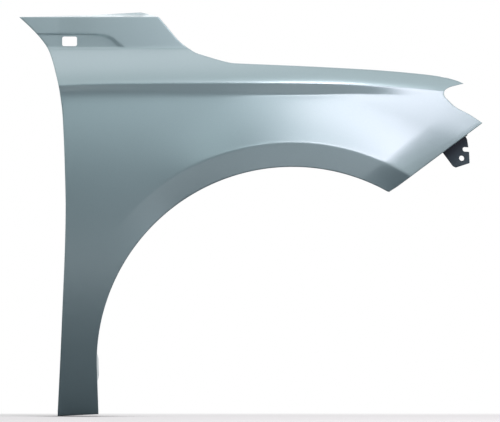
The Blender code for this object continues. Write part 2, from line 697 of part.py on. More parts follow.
bracket_drills = bmesh.new()
plate_axis = along_axis.cross(down_axis).normalized()
round_hole = bracket_point(
    BRACKET_LENGTH * ROUND_HOLE_SHARES[0], BRACKET_DROP * ROUND_HOLE_SHARES[1], plate_inboard
)
add_drill(bracket_drills, round_hole, plate_axis, ROUND_HOLE, 4 * CUT_OVERRUN)
cut(bracket, make_object("bracket_round_hole", bracket_drills, cutters, frame))

slot_mesh = bmesh.new()
slot_end = bracket_point(BRACKET_LENGTH * SLOT_END_SHARES[0], BRACKET_DROP * SLOT_END_SHARES[1], plate_inboard)
slot_axis = (ACROSS - plate_axis * ACROSS.dot(plate_axis)).normalized()
add_drill(slot_mesh, slot_end, plate_axis, SLOT_WIDTH, 4 * CUT_OVERRUN)
slot_far = [vert for vert in slot_mesh.verts if (vert.co - slot_end).dot(slot_axis) > SMALLEST]
bmesh.ops.translate(slot_mesh, vec=slot_axis * SLOT_WIDTH * 2, verts=slot_far)
cut(bracket, make_object("bracket_slot", slot_mesh, cutters, frame))
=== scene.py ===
"""Looks of a car's right-hand front fender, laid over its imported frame: a pressed steel panel with folded
flanges and a small welded bracket, under plain studio light."""

import math
from collections import Counter

import bpy
import numpy as np
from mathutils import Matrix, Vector
from mathutils.geometry import interpolate_bezier
from mathutils.kdtree import KDTree


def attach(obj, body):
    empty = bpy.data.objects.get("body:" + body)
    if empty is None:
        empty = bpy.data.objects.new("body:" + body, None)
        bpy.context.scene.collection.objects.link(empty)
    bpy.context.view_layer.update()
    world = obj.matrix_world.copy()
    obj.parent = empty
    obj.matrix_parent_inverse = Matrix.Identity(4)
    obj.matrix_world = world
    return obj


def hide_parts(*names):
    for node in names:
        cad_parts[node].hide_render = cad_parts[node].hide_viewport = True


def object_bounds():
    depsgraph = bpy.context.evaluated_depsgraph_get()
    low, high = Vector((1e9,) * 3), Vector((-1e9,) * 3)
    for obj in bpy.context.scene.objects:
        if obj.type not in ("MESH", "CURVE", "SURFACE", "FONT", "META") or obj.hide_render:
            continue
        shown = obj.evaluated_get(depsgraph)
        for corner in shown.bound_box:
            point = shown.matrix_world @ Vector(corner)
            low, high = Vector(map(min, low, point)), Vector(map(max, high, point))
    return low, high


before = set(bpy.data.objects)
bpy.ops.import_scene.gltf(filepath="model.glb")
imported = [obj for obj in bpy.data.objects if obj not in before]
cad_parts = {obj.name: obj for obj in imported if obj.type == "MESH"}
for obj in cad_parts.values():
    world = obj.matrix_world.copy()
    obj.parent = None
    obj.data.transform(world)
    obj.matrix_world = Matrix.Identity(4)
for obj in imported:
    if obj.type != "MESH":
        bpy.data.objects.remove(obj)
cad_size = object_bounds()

bpy.ops.object.select_all(action="DESELECT")

# Panel outline. The real piece is one deep-drawn sheet of 0.8 mm steel, trimmed to this outline before
# its edges are folded. Sizes are in metres about the wheel centre, which lies at WHEEL_CENTRE in the
# frame, +X to the front of the car, +Y inboard.
WHEEL_CENTRE = Vector((-0.090142, -0.072015, -0.4992))
ARCH_RADIUS = 0.356
LEG_WIDTH = 0.066
FOOT_DROP = 0.0975
FOOT_WIDTH_SHARE = 1.13
FOOT_RISE = 0.0035
RIDGE_LEVEL = 0.5085
CREASE_LEVEL = 0.5717
TOP_LEVEL = 0.6297
NOSE_REACH = 0.3467
ARCH_FRONT_ANGLE = math.radians(60.5)
SHEET = 0.0008
LEVELS = (-FOOT_DROP, 0.0, RIDGE_LEVEL, CREASE_LEVEL, TOP_LEVEL)
CURVE_STEPS = 24

# Height share, counted along LEVELS from the wheel centre, and share of the leg's width behind the arch
DOOR_SHARES = (
    (-1, 1.086), (0, 1.009), (0.2, 0.939), (0.39, 0.877), (0.55, 0.852), (0.71, 0.879), (0.83, 0.915),
    (0.905, 0.952), (0.972, 1.023), (0.99, 1.048), (1.18, 1.106), (1.66, 1.23), (2, 1.359), (2.32, 1.558),
    (2.66, 1.836), (3, 2.159),
)
DOOR_UNDERCUT_KNOT, DOOR_RIDGE_KNOT, DOOR_CREASE_KNOT = 8, 9, 12
# Share of the arch radius behind the wheel centre or of the nose's reach ahead of it, and height share
TOP_SHARES = (
    (-0.685, 3), (-0.632, 2.612), (-0.579, 2.234), (-0.53, 2), (-0.486, 1.87), (-0.393, 1.698),
    (-0.32, 1.59), (-0.2685, 1.566), (-0.166, 1.541), (0.0395, 1.492), (0.2495, 1.435), (0.4595, 1.369),
    (0.669, 1.271), (0.774, 1.199), (0.827, 1.139), (0.879, 1.049), (0.9, 0.999),
)
TOP_CREASE_KNOT, HOOD_START_KNOT = 3, 7
NOTCH_SHARES = (
    (1, 0.8582), (0.928, 0.8899), (0.8566, 0.9156), (0.8177, 0.94), (0.7985, 0.9555), (0.7978, 0.9703),
    (0.8047, 0.977), (0.827, 0.986), (0.879, 0.9957), (0.9, 0.999),
)
NOTCH_UNDERCUT_KNOT, NOTCH_RIDGE_KNOT = 3, 5
RIDGE_SHARES = (
    (-0.984, 0.9953), (-0.53, 0.9993), (0.0395, 0.9986), (0.302, 0.9943), (0.5645, 0.9843), (0.722, 0.9764),
)
UNDERCUT_SHARES = (
    (-0.984, 0.967), (-0.53, 0.9585), (0.0395, 0.9567), (0.302, 0.9605), (0.5645, 0.956), (0.722, 0.949),
)
SPLIT_KNOT = 2
BUMPER_CORNER_SHARES = (0.5538, 0.6313)


def height(share):
    return float(np.interp(share, (-1, 0, 1, 2, 3), LEVELS))


def place(along_share, height_share):
    reach = NOSE_REACH if along_share > 0 else ARCH_RADIUS
    return Vector((along_share * reach, height(height_share)))


def smooth_curve(knots):
    """Points of a smooth curve through the knots, CURVE_STEPS of them for each span."""
    tangents = []
    for k in range(len(knots)):
        tangents.append((knots[min(k + 1, len(knots) - 1)] - knots[max(k - 1, 0)]).normalized())
    points = []
    for k in range(len(knots) - 1):
        handle = (knots[k + 1] - knots[k]).length / 3
        span = interpolate_bezier(
            knots[k], knots[k] + tangents[k] * handle,
            knots[k + 1] - tangents[k + 1] * handle, knots[k + 1], CURVE_STEPS + 1,
        )
        points += [Vector(p[:2]) for p in span[:-1]]
    return points + [knots[-1].copy()]


def at_knot(curve, knot):
    return curve[knot * CURVE_STEPS]


def stretch(curve, first_knot, last_knot):
    return curve[first_knot * CURVE_STEPS:last_knot * CURVE_STEPS + 1]


def even(count):
    return [k / count for k in range(count + 1)]


def resample(points, shares):
    """Points at the given shares of a curve's length."""
    lengths = np.cumsum([0] + [(b - a).length for a, b in zip(points, points[1:])])
    wanted = np.array(shares) * lengths[-1]
    xs = np.interp(wanted, lengths, [p.x for p in points])
    zs = np.interp(wanted, lengths, [p.y for p in points])
    return [Vector(pair) for pair in zip(xs, zs)]


door_edge = smooth_curve(
    [Vector((-(ARCH_RADIUS + LEG_WIDTH * width), height(level))) for level, width in DOOR_SHARES]
)
top_edge = smooth_curve([place(*shares) for shares in TOP_SHARES])
notch_edge = smooth_curve([place(*shares) for shares in NOTCH_SHARES])
nose_tip = notch_edge[0]
foot_rear = door_edge[0]
foot_front = Vector((foot_rear.x + LEG_WIDTH * FOOT_WIDTH_SHARE, foot_rear.y + FOOT_RISE))
arch_front = Vector((math.cos(ARCH_FRONT_ANGLE), math.sin(ARCH_FRONT_ANGLE))) * (ARCH_RADIUS + SHEET)
bumper_corner = place(*BUMPER_CORNER_SHARES)
ridge_line = smooth_curve(
    [at_knot(door_edge, DOOR_RIDGE_KNOT)] + [place(*shares) for shares in RIDGE_SHARES]
    + [at_knot(notch_edge, NOTCH_RIDGE_KNOT)]
)
undercut_line = smooth_curve(
    [at_knot(door_edge, DOOR_UNDERCUT_KNOT)] + [place(*shares) for shares in UNDERCUT_SHARES]
    + [at_knot(notch_edge, NOTCH_UNDERCUT_KNOT)]
)
crease_line = [at_knot(door_edge, DOOR_CREASE_KNOT), at_knot(top_edge, TOP_CREASE_KNOT)]

# Form of the skin. The die draws one crowned side, a ridge with an undercut below it, a leaning
# shoulder, a nearly upright sail with a shallow recess, and a lip round the wheel. Creases are rolled
# over small radii, as steel is.
CROWN_RADIUS, CROWN_LEVEL = 1.4, 0.35
NOSE_SWEEP, SWEEP_START, SWEEP_POWER = 0.125, -0.15, 2.3
TAIL_SWEEP, TAIL_START = 0.004, -0.1
RIDGE_PROUD, RIDGE_ROLL = 0.006, 0.0011
UNDERCUT_ROLL_REAR, UNDERCUT_ROLL_FRONT = 0.012, 0.0018
VALLEY_DEPTH, VALLEY_REACH, VALLEY_FADE = 0.0015, 0.006, (-0.14, -0.02)
RIDGE_FADE = (0.05, 0.24)
SHOULDER_FIRST_SLOPE, SHOULDER_SLOPE, SHOULDER_ROLL = 0.35, 1.15, 0.012
SAIL_SLOPE, SAIL_BLEND = 0.25, 0.0015
RECESS_DEPTH, RECESS_WALL = 0.0022, 0.0028
RECESS_END_SHARE, RECESS_TOP_SHARE = 0.862, 0.455
RECESS_CORNER = 0.011
RECESS_WIDENING = RECESS_CORNER / 6
RECESS_END_RISE, RECESS_END_REACH = 0.0014, 0.014
LIP_WIDTH, LIP_DROP, LIP_ROLL = 0.0447, 0.0092, 0.0022
LIP_FADE = (math.radians(125), math.radians(150))
FLARE, FLARE_REACH = 0.010, 0.09
FLARE_FADE = (math.radians(98), math.radians(132))
TUCK, TUCK_REACH, TUCK_POWER = 0.013, 0.055, 1.5
TUCK_START, TUCK_END = (-0.45, 0), (0.02, 0.85)


def eased(value, start, end):
    """0 before start, 1 after end, and a smooth rise between them."""
    share = min(max((value - start) / (end - start), 0), 1)
    return share * share * (3 - 2 * share)


def soft_plus(value, roll):
    """The positive part of a value, with its corner rolled over."""
    return (value + math.hypot(value, roll)) / 2


def line_height(line, x):
    return float(np.interp(x, line[0], line[1]))


ridge_table = ([p.x for p in ridge_line], [p.y for p in ridge_line])
undercut_table = ([p.x for p in undercut_line], [p.y for p in undercut_line])


def side_depth(x, z):
    crown = (z - CROWN_LEVEL) ** 2 / (2 * CROWN_RADIUS)
    nose = max((x - SWEEP_START) / (NOSE_REACH - SWEEP_START), 0) ** SWEEP_POWER * NOSE_SWEEP
    tail = max((TAIL_START - x) / (TAIL_START + ARCH_RADIUS), 0) ** 2 * TAIL_SWEEP
    return crown + nose + tail


def arch_depth(x, z):
    angle = math.atan2(z, x) % (2 * math.pi)
    out = math.hypot(x, z) - ARCH_RADIUS - LIP_WIDTH
    flare = FLARE * (1 - eased(angle, *FLARE_FADE))
    lip = LIP_DROP * (1 - eased(angle, *LIP_FADE))
    outside, inside = soft_plus(out, LIP_ROLL), soft_plus(-out, LIP_ROLL)
    return lip * inside / LIP_WIDTH - flare * max(1 - outside / FLARE_REACH, 0) ** 2


def bumper_depth(x, z):
    line = nose_tip - bumper_corner
    offset = Vector((x, z)) - bumper_corner
    inside = line.normalized().cross(offset)
    ahead = offset.dot(line) / line.length_squared
    fade = eased(ahead, *TUCK_START) * (1 - eased(ahead, *TUCK_END))
    return TUCK * fade * max(1 - max(inside, 0) / TUCK_REACH, 0) ** TUCK_POWER


def shoulder_depth(x, z):
    ridge, undercut = line_height(ridge_table, x), line_height(undercut_table, x)
    front = eased(x, -ARCH_RADIUS, RIDGE_FADE[0])
    undercut_roll = UNDERCUT_ROLL_REAR + (UNDERCUT_ROLL_FRONT - UNDERCUT_ROLL_REAR) * front
    above = soft_plus(z - ridge, RIDGE_ROLL)
    rise = (soft_plus(z - undercut, undercut_roll) - above) / (ridge - undercut)
    fade = 1 - eased(x, *RIDGE_FADE)
    below, inside = soft_plus(undercut - z, undercut_roll), soft_plus(z - undercut, undercut_roll)
    valley = VALLEY_DEPTH * eased(x, *VALLEY_FADE) * math.exp(-below / VALLEY_REACH)
    valley *= max(1 - inside / (ridge - undercut), 0)
    proud = (RIDGE_PROUD * rise - valley) * fade
    roll = (SHOULDER_SLOPE - SHOULDER_FIRST_SLOPE) * SHOULDER_ROLL * (1 - math.exp(-above / SHOULDER_ROLL))
    return SHOULDER_SLOPE * above - roll - proud


def upper_depth(x, z):
    leaning = shoulder_depth(x, z)
    if z < line_height(ridge_table, x):
        return leaning
    upright = shoulder_depth(x, CREASE_LEVEL) + SAIL_SLOPE * (z - CREASE_LEVEL)
    return (leaning + upright - math.hypot(leaning - upright, SAIL_BLEND)) / 2


def recess_depth(x, z):
    top = CREASE_LEVEL + (TOP_LEVEL - CREASE_LEVEL) * RECESS_TOP_SHARE
    end = -ARCH_RADIUS * RECESS_END_SHARE - (z - CREASE_LEVEL)
    below_top, behind_end = top - z, (end - x) / math.sqrt(2)
    corner = below_top + behind_end - math.hypot(below_top - behind_end, RECESS_CORNER)
    inside = min(corner / 2 + RECESS_WIDENING, z - CREASE_LEVEL)
    end_rise = RECESS_END_RISE * math.exp(-max(behind_end, 0) / RECESS_END_REACH)
    return (RECESS_DEPTH - end_rise) * eased(inside, 0, RECESS_WALL)


def on_skin(point):
    x, z = point
    depth = side_depth(x, z) + arch_depth(x, z) + bumper_depth(x, z)
    depth += upper_depth(x, z) + recess_depth(x, z)
    return WHEEL_CENTRE + Vector((x, depth, z))


# Skin of the panel: steel, laid out in bands between the outline and the character lines, so that its
# rows of faces run along the creases that the die presses.
LEG_STEPS, REAR_STEPS, FRONT_STEPS = 84, 60, 104
LIP_STEPS, BUMPER_STEPS, NOTCH_LOW_STEPS = 14, 26, 10
UNDERCUT_ROWS, SHOULDER_ROWS, SAIL_ROWS = 12, 22, 44
LIP_CROWDING, SIDE_CROWDING, UNDERCUT_CROWDING = (0.3, 0.85), (0.8, 0.6), (0.4, 0.9)
SHOULDER_CROWDING, SAIL_CROWDING = (0.9, 0.7), (0.5, 0)
SIDE_REACH_POWER = 4
LARGEST_LIP_SHARE = 0.36
MERGE = 1e-6


def crowded(count, start_crowding, end_crowding):
    """Shares from 0 to 1 whose steps shrink towards the ends by the given strengths."""
    shares = []
    for share in even(count):
        eased_share = share * share * (3 - 2 * share)
        crowding = start_crowding * (1 - share) + end_crowding * share
        shares.append(share + (eased_share - share) * crowding)
    return shares


def circle_share(start, end, radius):
    """How far along the line from start to end it leaves the circle about the wheel centre."""
    line = end - start
    a, b, c = line.length_squared, start.dot(line), start.length_squared - radius * radius
    return (math.sqrt(max(b * b - a * c, 0)) - b) / a


def arc(start_angle, end_angle, count):
    angles = [start_angle + (end_angle - start_angle) * share for share in even(count)]
    return [Vector((math.cos(a), math.sin(a))) * ARCH_RADIUS for a in angles]


def add_band(bottom, top, left, right, row_shares):
    """A grid of faces between four rows of points, at row_shares of the way up, as a new object."""
    columns, rows = len(bottom) - 1, len(row_shares) - 1
    bpy.ops.mesh.primitive_grid_add(x_subdivisions=columns, y_subdivisions=rows, size=2)
    band = bpy.context.active_object
    for vert in band.data.vertices:
        i, j = round((vert.co.x + 1) / 2 * columns), round((vert.co.y + 1) / 2 * rows)
        u, v = i / columns, row_shares[j]
        point = bottom[i].lerp(top[i], v)
        point += (left[j] - left[0].lerp(left[-1], v)) * (1 - u) ** SIDE_REACH_POWER
        point += (right[j] - right[0].lerp(right[-1], v)) * u ** SIDE_REACH_POWER
        vert.co = on_skin(point)
    return band


side_rows = BUMPER_STEPS + NOTCH_LOW_STEPS
lip_shares = crowded(LIP_STEPS, *LIP_CROWDING)
side_shares = crowded(side_rows, *SIDE_CROWDING)
undercut_shares = crowded(UNDERCUT_ROWS, *UNDERCUT_CROWDING)
shoulder_shares = crowded(SHOULDER_ROWS, *SHOULDER_CROWDING)
sail_shares = crowded(SAIL_ROWS, *SAIL_CROWDING)
front_split = at_knot(undercut_line, SPLIT_KNOT)
rear_angle = math.atan2(undercut_line[0].y, undercut_line[0].x)
front_angle = math.atan2(front_split.y, front_split.x)
arch_row = (
    resample([foot_front] + arc(math.pi, rear_angle, LEG_STEPS), even(LEG_STEPS))[:-1]
    + arc(rear_angle, front_angle, REAR_STEPS)[:-1]
    + arc(front_angle, ARCH_FRONT_ANGLE, FRONT_STEPS)[:-1] + [arch_front]
)
last_knot = len(RIDGE_SHARES) + 1
undercut_row = (
    resample(stretch(undercut_line, 0, SPLIT_KNOT), even(REAR_STEPS))[:-1]
    + resample(stretch(undercut_line, SPLIT_KNOT, last_knot), even(FRONT_STEPS))
)
ridge_row = (
    resample(stretch(ridge_line, 0, SPLIT_KNOT), even(REAR_STEPS))[:-1]
    + resample(stretch(ridge_line, SPLIT_KNOT, last_knot), even(FRONT_STEPS))
)
crease_row = resample(crease_line, even(REAR_STEPS))
hood_row = resample(stretch(top_edge, TOP_CREASE_KNOT, len(TOP_SHARES) - 1), even(FRONT_STEPS))
sail_row = resample([door_edge[-1], top_edge[0]], even(REAR_STEPS))
outer_row = resample(stretch(door_edge, 0, DOOR_UNDERCUT_KNOT), even(LEG_STEPS))[:-1] + undercut_row
bumper_lip_end = bumper_corner.lerp(
    nose_tip, circle_share(bumper_corner, nose_tip, ARCH_RADIUS + LIP_WIDTH)
)
lip_row = []
for near, far in zip(arch_row, outer_row):
    lip_row.append(near.lerp(far, min(circle_share(near, far, ARCH_RADIUS + LIP_WIDTH), LARGEST_LIP_SHARE)))
lip_row[-1] = bumper_lip_end

foot_lip = resample([arch_row[0], lip_row[0]], lip_shares)
foot_side = resample([lip_row[0], outer_row[0]], side_shares)
bumper_lip = resample([arch_front, bumper_corner, bumper_lip_end], lip_shares)
bumper_shares = [share / side_shares[BUMPER_STEPS] for share in side_shares[:BUMPER_STEPS + 1]]
bumper_side = resample([bumper_lip_end, nose_tip], bumper_shares)
notch_low = resample(stretch(notch_edge, 0, NOTCH_UNDERCUT_KNOT), even(NOTCH_LOW_STEPS))
notch_back = resample(stretch(notch_edge, NOTCH_UNDERCUT_KNOT, NOTCH_RIDGE_KNOT), undercut_shares)
notch_high = resample(stretch(notch_edge, NOTCH_RIDGE_KNOT, len(NOTCH_SHARES) - 1), shoulder_shares)
door_undercut = resample(stretch(door_edge, DOOR_UNDERCUT_KNOT, DOOR_RIDGE_KNOT), undercut_shares)
door_shoulder = resample(stretch(door_edge, DOOR_RIDGE_KNOT, DOOR_CREASE_KNOT), shoulder_shares)
door_sail = resample(stretch(door_edge, DOOR_CREASE_KNOT, len(DOOR_SHARES) - 1), sail_shares)
cowl = resample(stretch(top_edge, 0, TOP_CREASE_KNOT)[::-1], sail_shares)

bands = [
    add_band(arch_row, lip_row, foot_lip, bumper_lip, lip_shares),
    add_band(lip_row, outer_row, foot_side, bumper_side + notch_low[1:], side_shares),
    add_band(undercut_row, ridge_row, door_undercut, notch_back, undercut_shares),
    add_band(ridge_row, crease_row[:-1] + hood_row, door_shoulder, notch_high, shoulder_shares),
    add_band(crease_row, sail_row, door_sail, cowl, sail_shares),
]
bpy.ops.object.select_all(action="DESELECT")
for band in bands:
    band.select_set(True)
bpy.context.view_layer.objects.active = bands[0]
bpy.ops.object.join()
panel = bpy.context.active_object
panel.name = "pressed_panel"
bpy.ops.object.mode_set(mode="EDIT")
bpy.ops.mesh.select_all(action="SELECT")
bpy.ops.mesh.remove_doubles(threshold=MERGE)
bpy.ops.object.mode_set(mode="OBJECT")

# Folded flanges. Every trimmed edge is turned inboard for stiffness or for bolting: round the wheel, at
# the foot, along the door with its wider hinge tab, over the sail, under the bonnet, in the headlamp
# notch and at the bumper.
INBOARD = Vector((0, 1, 0))
FOLD_RADIUS, FOLD_RISE, FOLD_SEGMENTS = 0.0018, 0.0032, 5
CORNER_RELIEF, CORNER_LENGTH = 0.0012, 0.008
FOOT_FLANGE, ARCH_FLANGE, BUMPER_FLANGE, NOTCH_FLANGE, NOTCH_RIM = 0.024, 0.020, 0.018, 0.012, 0.0035
SAIL_FLANGE, SAIL_FLANGE_RISE = 0.016, 0.0083
SAIL_RISE_SHARES, SAIL_RISES = (0, 0.496, 0.875, 1), (0, 0.36, 1, 0)
DOOR_FLANGE, HINGE_TAB, HINGE_TAB_CORNER, HINGE_TAB_SHARES = 0.014, 0.034, 0.012, (0.797, 0.895)
COWL_FLANGE, HOOD_FLANGE, HOOD_WALL_LEAN, HOOD_FLANGE_END_SHARE = 0.016, 0.028, 0.003, 0.72
HOOD_FLANGE_LEVEL = 0.500
ARCH_TAB_LEAN, ARCH_TAB_REACH, ARCH_TAB_LEVEL = 0.003, 0.014, -0.008


def straight_fold(width, taper):
    """A flange that runs straight inboard, cut back to CORNER_RELIEF where taper is 0."""
    rest = max(width - FOLD_RISE - CORNER_RELIEF, 0)
    return INBOARD * FOLD_RISE, INBOARD * (CORNER_RELIEF + rest * taper)


def foot_fold(point, taper):
    return straight_fold(FOOT_FLANGE, taper)


def arch_fold(point, taper):
    first, second = straight_fold(ARCH_FLANGE, taper)
    apart = abs(point.y - ARCH_TAB_LEVEL)
    lean = ARCH_TAB_LEAN * (1 - eased(apart, ARCH_TAB_REACH, 2 * ARCH_TAB_REACH)) if point.x < 0 else 0
    return first, second + Vector((lean, 0, 0))


def bumper_fold(point, taper):
    return straight_fold(BUMPER_FLANGE, taper)


def notch_fold(point, taper):
    low, high = (at_knot(notch_edge, knot).y for knot in (NOTCH_UNDERCUT_KNOT, NOTCH_RIDGE_KNOT))
    return straight_fold(NOTCH_FLANGE + (NOTCH_RIM - NOTCH_FLANGE) * eased(point.y, low, high), taper)


def top_fold(point, taper):
    cowl_first, cowl_second = straight_fold(COWL_FLANGE, taper)
    hood_first = Vector((0, HOOD_WALL_LEAN, HOOD_FLANGE_LEVEL - point.y))
    behind = 1 - eased(point.x, crease_line[1].x, at_knot(top_edge, HOOD_START_KNOT).x)
    ahead = eased(point.x, NOSE_REACH * HOOD_FLANGE_END_SHARE, hood_row[-1].x)
    plain = max(behind, ahead)
    return hood_first.lerp(cowl_first, plain), (INBOARD * HOOD_FLANGE).lerp(cowl_second, plain)


def sail_fold(point, taper):
    first, second = straight_fold(SAIL_FLANGE, taper)
    ahead = (point.x - sail_row[0].x) / (sail_row[-1].x - sail_row[0].x)
    rise = SAIL_FLANGE_RISE * float(np.interp(ahead, SAIL_RISE_SHARES, SAIL_RISES))
    return first, second + Vector((0, 0, rise))


def door_fold(point, taper):
    low, high = (RIDGE_LEVEL * share for share in HINGE_TAB_SHARES)
    tab = 1 - eased(max(low - point.y, point.y - high, 0), 0, HINGE_TAB_CORNER)
    return straight_fold(DOOR_FLANGE + (HINGE_TAB - DOOR_FLANGE) * tab, taper)


door_row = resample(stretch(door_edge, 0, DOOR_UNDERCUT_KNOT), even(LEG_STEPS))
runs = (
    (foot_lip + foot_side[1:], foot_fold),
    (arch_row, arch_fold),
    (bumper_lip + bumper_side[1:], bumper_fold),
    (notch_low + notch_back[1:] + notch_high[1:], notch_fold),
    (hood_row[::-1] + cowl[1:], top_fold),
    (sail_row, sail_fold),
    (door_row + door_undercut[1:] + door_shoulder[1:] + door_sail[1:], door_fold),
)
edge_folds = []
for points, fold in runs:
    lengths = np.cumsum([0] + [(b - a).length for a, b in zip(points, points[1:])])
    for point, length in zip(points, lengths):
        taper = min(length / CORNER_LENGTH, (lengths[-1] - length) / CORNER_LENGTH, 1)
        edge_folds.append((on_skin(point), fold(point, taper)))


def open_edges(mesh):
    uses = Counter(key for face in mesh.polygons for key in face.edge_keys)
    return [key for key, count in uses.items() if count == 1]


def fold_open_edges(piece, folds, step):
    """Extrude the open edges, move each new point by its fold vector, and return the new points' folds."""
    tree = KDTree(len(folds))
    for index, (point, vectors) in enumerate(folds):
        tree.insert(point, index)
    tree.balance()
    bpy.ops.object.mode_set(mode="EDIT")
    bpy.ops.mesh.select_mode(type="EDGE")
    bpy.ops.mesh.select_all(action="DESELECT")
    bpy.ops.mesh.select_non_manifold(
        extend=False, use_wire=False, use_multi_face=False, use_non_contiguous=False, use_verts=False
    )
    bpy.ops.mesh.extrude_edges_indiv()
    bpy.ops.object.mode_set(mode="OBJECT")
    moved = {}
    for vert in piece.data.vertices:
        if vert.select:
            found = [folds[index][1] for _, index, _ in tree.find_range(vert.co, 2 * MERGE)]
            vectors = [sum(pair, Vector((0, 0, 0))) / len(found) for pair in zip(*found)]
            vert.co += vectors[step]
            moved[vert.index] = (vert.co.copy(), vectors)
    return moved


bends = set(open_edges(panel.data))
first_folds = fold_open_edges(panel, edge_folds, 0)
for key in open_edges(panel.data):
    if all(first_folds[index][1][0].z < -FOLD_RISE for index in key):
        bends.add(key)
fold_open_edges(panel, list(first_folds.values()), 1)
weights = panel.data.attributes.new("bevel_weight_edge", "FLOAT", "EDGE")
for edge in panel.data.edges:
    weights.data[edge.index].value = 1 if edge.key in bends else 0


def apply_modifier(piece, kind, **settings):
    """Add a modifier with these settings and apply it."""
    bpy.context.view_layer.objects.active = piece
    modifier = piece.modifiers.new(kind.lower(), kind)
    for name, value in settings.items():
        setattr(modifier, name, value)
    bpy.ops.object.modifier_apply(modifier=modifier.name)


apply_modifier(
    panel, "BEVEL", limit_method="WEIGHT", width=FOLD_RADIUS, segments=FOLD_SEGMENTS,
    use_clamp_overlap=False,
)
apply_modifier(panel, "SOLIDIFY", thickness=SHEET, offset=-1)

# Holes, punched after pressing: four for the bonnet flange's bolts, two in the foot and one in the hinge
# tab, seven for the wheel-arch liner's clips, and the rounded window for the side indicator.
BOLT_HOLE, CLIP_HOLE, HOLE_SIDES, CUT_DEPTH = 0.009, 0.0055, 48, 0.008
BONNET_BOLT_SHARES = (-0.17, 0.115, 0.405, 0.64)
FOOT_BOLT_SHARES, FOOT_BOLT_INBOARD_SHARE = (0.3, 0.7), 0.6
CLIP_ANGLES = tuple(math.radians(angle) for angle in (68, 85, 102, 119, 136, 153, 170))
CLIP_SHARE = 0.55
INDICATOR_LENGTH, INDICATOR_HEIGHT, INDICATOR_SHARE = 0.027, 0.0175, 0.756
INDICATOR_CORNER, INDICATOR_CORNER_STEPS = 0.0035, 8
SHARP_ANGLE = math.radians(40)


def add_drill(centre, axis, diameter):
    """A cylinder for a round hole, centred on the wall that it cuts."""
    bpy.ops.mesh.primitive_cylinder_add(
        vertices=HOLE_SIDES, radius=diameter / 2, depth=CUT_DEPTH, location=centre,
        rotation=axis.to_track_quat("Z", "Y").to_euler(),
    )
    return bpy.context.active_object


def join(pieces):
    bpy.ops.object.select_all(action="DESELECT")
    for piece in pieces:
        piece.select_set(True)
    bpy.context.view_layer.objects.active = pieces[0]
    bpy.ops.object.join()
    return pieces[0]


def cut(piece, cutter):
    apply_modifier(piece, "BOOLEAN", operation="DIFFERENCE", object=cutter, solver="EXACT")
    bpy.data.objects.remove(cutter)


def shade_smooth_to_edges(piece):
    """Shade a piece smooth, with its edges of SHARP_ANGLE and more left sharp."""
    bpy.ops.object.select_all(action="DESELECT")
    piece.select_set(True)
    bpy.context.view_layer.objects.active = piece
    bpy.ops.object.shade_smooth_by_angle(angle=SHARP_ANGLE)


UP, ACROSS = Vector((0, 0, 1)), Vector((1, 0, 0))
hood_table = ([p.x for p in hood_row], [p.y for p in hood_row])
drills = []
for share in BONNET_BOLT_SHARES:
    x = NOSE_REACH * share
    centre = on_skin(Vector((x, line_height(hood_table, x)))) + INBOARD * (HOOD_WALL_LEAN + HOOD_FLANGE / 2)
    centre.z = WHEEL_CENTRE.z + HOOD_FLANGE_LEVEL
    drills.append(add_drill(centre, UP, BOLT_HOLE))
for share in FOOT_BOLT_SHARES:
    foot_point = on_skin(foot_front.lerp(foot_rear, share))
    drills.append(add_drill(foot_point + INBOARD * FOOT_FLANGE * FOOT_BOLT_INBOARD_SHARE, UP, BOLT_HOLE))
tab_level = RIDGE_LEVEL * sum(HINGE_TAB_SHARES) / 2
tab_x = float(np.interp(tab_level, [p.y for p in door_edge], [p.x for p in door_edge]))
tab_point = on_skin(Vector((tab_x, tab_level)))
drills.append(add_drill(tab_point + INBOARD * (HINGE_TAB - BOLT_HOLE), ACROSS, BOLT_HOLE))
for angle in CLIP_ANGLES:
    spoke = Vector((math.cos(angle), math.sin(angle)))
    clip = on_skin(spoke * ARCH_RADIUS) + INBOARD * ARCH_FLANGE * CLIP_SHARE
    drills.append(add_drill(clip, Vector((spoke.x, 0, spoke.y)), CLIP_HOLE))
recess_height = RECESS_TOP_SHARE * (TOP_LEVEL - CREASE_LEVEL)
indicator = Vector((-ARCH_RADIUS - LEG_WIDTH * INDICATOR_SHARE, CREASE_LEVEL + recess_height / 2))
bpy.ops.mesh.primitive_cube_add(size=1, location=on_skin(indicator))
window = bpy.context.active_object
window.scale = (INDICATOR_LENGTH, 2 * CUT_DEPTH, INDICATOR_HEIGHT)
bpy.ops.object.transform_apply(location=False, rotation=False, scale=True)
bpy.ops.object.mode_set(mode="EDIT")
bpy.ops.mesh.select_mode(type="EDGE")
bpy.ops.mesh.select_all(action="DESELECT")
bpy.ops.object.mode_set(mode="OBJECT")
for edge in window.data.edges:
    ends = [window.data.vertices[index].co for index in edge.vertices]
    edge.select = abs((ends[0] - ends[1]).y) > CUT_DEPTH
bpy.ops.object.mode_set(mode="EDIT")
bpy.ops.mesh.bevel(offset=INDICATOR_CORNER, segments=INDICATOR_CORNER_STEPS)
bpy.ops.object.mode_set(mode="OBJECT")
cut(panel, join(drills + [window]))
shade_smooth_to_edges(panel)

# Finish of the panel: a satin metallic basecoat, grey-green, sprayed on. Its flake makes it shine
# softly, bright where it faces the light and dark where it turns away. Real flake of 0.03 mm is too fine
# to show, so it is drawn 0.6 mm across; the orange peel is at its real 2.2 mm.
PAINT_LIGHT, PAINT_DARK = "#88A1A6", "#80999E"
FLAKE, FLAKE_RAMP, FLAKE_ROUGHNESS = 0.0006, (0.35, 0.65), (0.36, 0.44)
ORANGE_PEEL, PEEL_HEIGHT, PEEL_STRENGTH = 0.0022, 0.00001, 0.3


def linear(code):
    """The linear colour of an sRGB hex code."""
    parts = [int(code[k:k + 2], 16) / 255 for k in (1, 3, 5)]
    return (*(c / 12.92 if c <= 0.04045 else ((c + 0.055) / 1.055) ** 2.4 for c in parts), 1)


